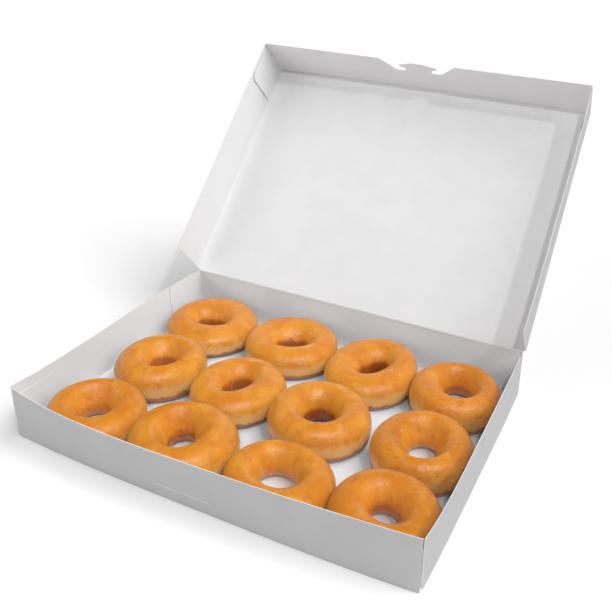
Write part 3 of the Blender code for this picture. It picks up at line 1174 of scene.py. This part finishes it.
@dataclass(frozen=True)
class Hole:
    """How a doughnut's hole differs from the one in its solid, in millimetres."""

    widen: float
    right: float  # how far it sits to the right, and to the rear
    rear: float
    stretch: float  # how much longer it is one way, and shorter across
    bearing: float  # the way it is longer, in degrees round from the right
    funnel: float = 1.1  # above 1: the top falls early towards the hole

    def extra(self, turn: float) -> float:
        """Return the extra reach of the throat in a direction."""
        along = 2 * (turn - math.radians(self.bearing))
        return (self.widen + self.stretch * math.cos(along)) * MM

    def shift(self, share: float) -> Vector:
        """Return the sideways shift where the throat has the given share."""
        return Vector((self.right, self.rear, 0.0)) * MM * share


@dataclass
class Doughnut:
    """One glazed ring: a plump dome on a flat foot, wrinkled into its hole."""

    number: int
    tray: Tray
    hole: Hole
    dough: GlazedDough
    scorch_bearing: float = -2.9  # which way the scorch lies from the hole, in radians
    shoulder: float = 1.0  # above 1: the top falls later and steeper
    round_steps: int = 240
    tube_steps: int = 92
    equator: float = 0.43  # level of the widest part, as a share of height
    waist: float = 0.33  # level of the throat's narrowest part
    dome: float = 0.88  # below 1: a broader and flatter top
    squareness: float = 0.62  # below 1: a flatter foot with fuller corners
    flare: float = 0.85  # below 1: the hole's wall stands square on its foot
    plump: float = 0.8 * MM  # how far the dough has spread against its neighbours
    lump: float = 0.55 * MM
    dimple: float = 0.16 * MM
    crinkle: float = 0.10 * MM
    pucker: float = 0.25 * MM  # creases that run down into the hole
    puckers: int = 16
    groove: float = 0.35 * MM  # depth of the shallow groove round the outside
    rest_gap: float = 0.04 * MM

    @property
    def node(self) -> str:
        """The name of this doughnut's solid."""
        return f"doughnut_{self.number:02d}"

    def section(self) -> list[tuple[float, float]]:
        """Return the closed section as (across from -1 to 1, up from 0 to 1)."""
        points = []
        for i in range(self.tube_steps):
            turn = 2 * math.pi * i / self.tube_steps
            across, up = math.cos(turn), math.sin(turn)
            inward = smooth(-across, -0.25, 0.25)
            lower = lerp(self.squareness, self.flare, inward)
            over = lerp(self.dome, self.shoulder, inward) if up >= 0 else lower
            along = lerp(self.dome, self.hole.funnel, inward) if up >= 0 else lower
            widest = lerp(self.equator, self.waist, inward)
            across = math.copysign(abs(across) ** over, across)
            rise = abs(up) ** along
            level = widest + (1 - widest) * rise if up >= 0 else widest * (1 - rise)
            points.append((across, level))
        return points

    def relief(self, point: Vector, across: float, up: float, turn: float) -> float:
        """Return how far the surface stands off the plain ring.

        Args:
            point: The place on the plain ring.
            across: -1 at the throat to 1 at the outline.
            up: 0 at the foot to 1 at the crest.
            turn: Direction round the ring.

        Returns:
            The distance along the normal, in metres.
        """
        seed = self.number * 3.7
        free = smooth(up, 0.0, 0.12)
        swell = self.lump * ripple(point, 26 * MM, seed)
        pits = self.dimple * ripple(point, 7 * MM, seed + 1)
        fine = self.crinkle * ripple(point, 2.6 * MM, seed + 2)
        inner = smooth(-across, 0.35, 0.95)
        folds = math.sin(self.puckers * turn + 6 * ripple(point, 18 * MM, seed + 3))
        fold = self.pucker * inner * folds * ripple(point, 12 * MM, seed + 4)
        waist = -self.groove * smooth(across, 0.5, 0.95) * math.exp(-((up - 0.3) / 0.07) ** 2)
        return free * (swell + pits + fine + fold) + waist * free

    def build(self) -> bpy.types.Object:
        """Spin the section, fit it to the measured outline and glaze it."""
        outline = RingOutline(self.node)
        bm = bmesh.new()
        core = 2.0
        loop = [bm.verts.new((core + across, 0.0, up)) for across, up in self.section()]
        rim = [bm.edges.new((loop[i - 1], loop[i])) for i in range(len(loop))]
        bmesh.ops.spin(bm, geom=loop + rim, cent=(0, 0, 0), axis=(0, 0, 1),
                       angle=2 * math.pi, steps=self.round_steps, use_merge=True)
        bmesh.ops.recalc_face_normals(bm, faces=bm.faces)
        level = bm.verts.layers.float.new("level")
        throat = bm.verts.layers.float.new("throat")
        scorched = bm.verts.layers.float.new("scorched")
        form = {}
        base = self.rest_gap + BOARD
        for vert in bm.verts:
            turn = math.atan2(vert.co.y, vert.co.x)
            across, up = math.hypot(vert.co.x, vert.co.y) - core, vert.co.z
            inner = outline.throat(turn) + self.hole.extra(turn)
            outer = outline.outer(turn) + self.plump
            reach = lerp(inner, outer, (across + 1) / 2)
            rise = up * (outline.crest(turn) + outline.foot - base)
            vert[level], vert[throat] = up, (1 - across) / 2
            aside = math.remainder(turn - self.scorch_bearing, 2 * math.pi)
            vert[scorched] = math.exp(-(aside / 0.7) ** 2 - ((across + 0.3) / 0.35) ** 2)
            form[vert] = (across, up, turn)
            vert.co = Vector((*outline.middle, base)) + outline.direction(turn) * reach
            vert.co += self.hole.shift((1 - across) / 2)
            vert.co.z += rise
        bm.normal_update()
        moves = {vert: vert.normal * self.relief(vert.co, *form[vert]) for vert in bm.verts}
        for vert, move in moves.items():
            vert.co = self.tray.keep_inside(vert.co + move)
            vert.co.z = max(vert.co.z, base)
        finish = self.dough.make(f"glazed_dough_{self.number:02d}")
        piece = show_mesh(f"glazed_{self.node}", bm, [finish])
        piece.data.shade_smooth()
        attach(piece, "tray")
        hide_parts(self.node)
        return piece


# ---- studio

class Glow(Enum):
    """What a lamp does: it lights the colour of a surface, or shines on its gloss, or both."""

    BOTH = (True, True)
    COLOUR = (True, False)
    GLOSS = (False, True)


@dataclass(frozen=True)
class SoftLamp:
    """A far lamp that lights the carton evenly from a bearing and a height."""

    name: str
    bearing: float  # degrees round from the front towards the right
    height: float  # degrees above the table
    spread: float  # degrees across the lamp as the carton sees it
    strength: float
    shows: Glow = Glow.BOTH
    distance: float = 2.5

    def build(self) -> bpy.types.Object:
        """Set the lamp up and aim it."""
        data = bpy.data.lights.new(self.name, "SUN")
        data.angle = math.radians(self.spread)
        data.energy = self.strength
        lamp = show(self.name, data)
        lamp.visible_diffuse, lamp.visible_glossy = self.shows.value
        bearing, height = math.radians(self.bearing), math.radians(self.height)
        away = Vector((math.sin(bearing) * math.cos(height),
                       -math.cos(bearing) * math.cos(height), math.sin(height)))
        lamp.location = away * self.distance
        lamp.rotation_euler = away.to_track_quat("Z", "Y").to_euler()
        return lamp


@dataclass
class Studio:
    """A pale table, soft lamps and the viewpoint."""

    eye: tuple[float, float, float] = (0.3000, -0.4921, 0.4260)
    look: tuple[float, float, float] = (67.90, -2.55, 23.49)  # degrees about X, Y and Z
    lens: float = 44.69
    shift: tuple[float, float] = (-0.1405, -0.1423)
    floor_half: float = 12.0
    sky: float = 0.02
    lamps: tuple[SoftLamp, ...] = (
        SoftLamp("front_lamp", 24.6, 48.5, 2.6, 0.69),
        SoftLamp("right_lamp", 60.0, 50.6, 2.6, 0.45),
        SoftLamp("right_softbox", 90.0, 50.0, 35.0, 1.00, Glow.COLOUR),
        SoftLamp("low_right_softbox", 90.0, 25.0, 35.0, 0.50, Glow.COLOUR),
        SoftLamp("back_softbox", 135.0, 60.0, 35.0, 1.05, Glow.COLOUR),
        SoftLamp("low_softbox", -45.0, 22.0, 40.0, 0.93, Glow.COLOUR),
        SoftLamp("left_softbox", -90.0, 35.0, 40.0, 0.36, Glow.COLOUR),
        SoftLamp("top_softbox", 0.0, 89.0, 45.0, 0.08, Glow.COLOUR),
        SoftLamp("window", 36.0, 51.0, 46.0, 1.15, Glow.GLOSS),
    )

    def build(self) -> None:
        """Make the table, the lamps, the sky and the camera."""
        bm = bmesh.new()
        bmesh.ops.create_grid(bm, x_segments=2, y_segments=2, size=self.floor_half)
        finish = Finish("pale_table")
        tone = finish.mix(finish.clouds(0.6), display(253, 253, 253), display(251, 251, 252))
        finish.wear(Base_Color=tone, Roughness=0.8, Specular_IOR_Level=0.1)
        table = show_mesh("table", bm, [finish.material])
        for lamp in self.lamps:
            lamp.build()
        world = bpy.data.worlds.new("studio_sky")
        world.use_nodes = True
        sky = world.node_tree.nodes["Background"]
        sky.inputs["Color"].default_value = (1.0, 1.0, 1.0, 1.0)
        sky.inputs["Strength"].default_value = self.sky
        bpy.context.scene.world = world
        bpy.context.scene.view_settings.view_transform = "Standard"
        self.add_camera()

    def add_camera(self) -> None:
        """Put the camera at the viewpoint."""
        data = bpy.data.cameras.new("camera")
        data.sensor_width = 36.0
        data.lens = self.lens
        data.shift_x, data.shift_y = self.shift
        data.clip_start = 0.01
        camera = show("camera", data)
        camera.location = self.eye
        camera.rotation_euler = [math.radians(angle) for angle in self.look]
        bpy.context.scene.camera = camera


def main() -> None:
    """Build the carton, its doughnuts and the studio, and report each piece."""
    logging.basicConfig(level=logging.INFO, format="%(name)s: %(message)s")
    hinge = frame["joints"][0]
    outside = BoardFinish("board_outside", (182, 182, 182), (176, 176, 177), 0.55, 0.02 * MM).make()
    edge = BoardFinish("board_cut_edge", (238, 237, 236), (222, 220, 218), 0.8, 0.06 * MM).make()
    inside = BoardFinish("board_inside", (230, 230, 230), (224, 224, 225), 0.62, 0.03 * MM).make()
    # painted shade: a dark cut edge that stands for the shadow in the gaps at the ears' ends and
    # along the crease fold
    painted_gap_shade = BoardFinish("board_painted_gap_shade", (132, 130, 128), (116, 114, 112), 0.85, 0.06 * MM).make()
    layers = (outside, edge, inside, outside, painted_gap_shade, inside, painted_gap_shade, inside, edge, inside)
    tray = Tray(layers)
    lid = Lid(layers, Vector(hinge["pos_m"]), math.radians(-hinge["range_deg"][0]))
    pieces = [tray.build_board(), tray.build_front(), lid.build(),
              CreaseFold(layers, tray, lid).build()]
    batch = (
        (Hole(-0.7, -1.5, -0.4, 3.9, 14), GlazedDough(0.2, deep=0.55, browning=0.62)),
        (Hole(-1.0, 2.8, -3.6, 3.5, 31), GlazedDough(0.25, deep=0.65, browning=0.64)),
        (Hole(-1.4, 0.0, -1.4, 3.8, 60), GlazedDough(0.3, deep=0.75, browning=0.7)),
        (Hole(1.3, -0.9, 1.5, 2.0, 121), GlazedDough(0.8, deep=0.5, browning=0.52, crazing=0.1)),
        (Hole(4.4, 4.0, -2.2, 0.5, -41, funnel=1.8), GlazedDough(0.3, deep=0.55, browning=0.68)),
        (Hole(-0.6, -0.8, -0.1, 3.2, 80, funnel=1.3), GlazedDough(0.3, deep=0.6, browning=0.7)),
        (Hole(0.4, -0.8, -1.7, 0.9, -28), GlazedDough(0.35, deep=0.8, browning=0.6, crazing=0.14)),
        (Hole(0.6, -0.4, -2.6, 1.9, 121, funnel=1.8),
         GlazedDough(0.8, deep=0.0, browning=0.46, crazing=0.16, scorch=0.5)),
        (Hole(3.0, -2.2, -0.7, 0.7, -15, funnel=1.8), GlazedDough(0.45, deep=0.2, browning=0.55)),
        (Hole(1.0, -0.9, 0.6, 3.0, 121, funnel=1.8), GlazedDough(0.4, deep=0.5, browning=0.54)),
        (Hole(0.0, -2.4, 1.1, 1.2, 121), GlazedDough(0.45, deep=0.05, browning=0.46)),
        (Hole(-0.7, 0.2, 0.2, 2.5, -24), GlazedDough(0.75, deep=0.45, browning=0.55)),
    )
    for number, (hole, dough) in enumerate(batch, start=1):
        pieces.append(Doughnut(number, tray, hole, dough).build())
    for piece in pieces:
        log.info("%s: %d faces", piece.name, len(piece.data.polygons))
    Studio().build()


if __name__ == "__main__":
    main()
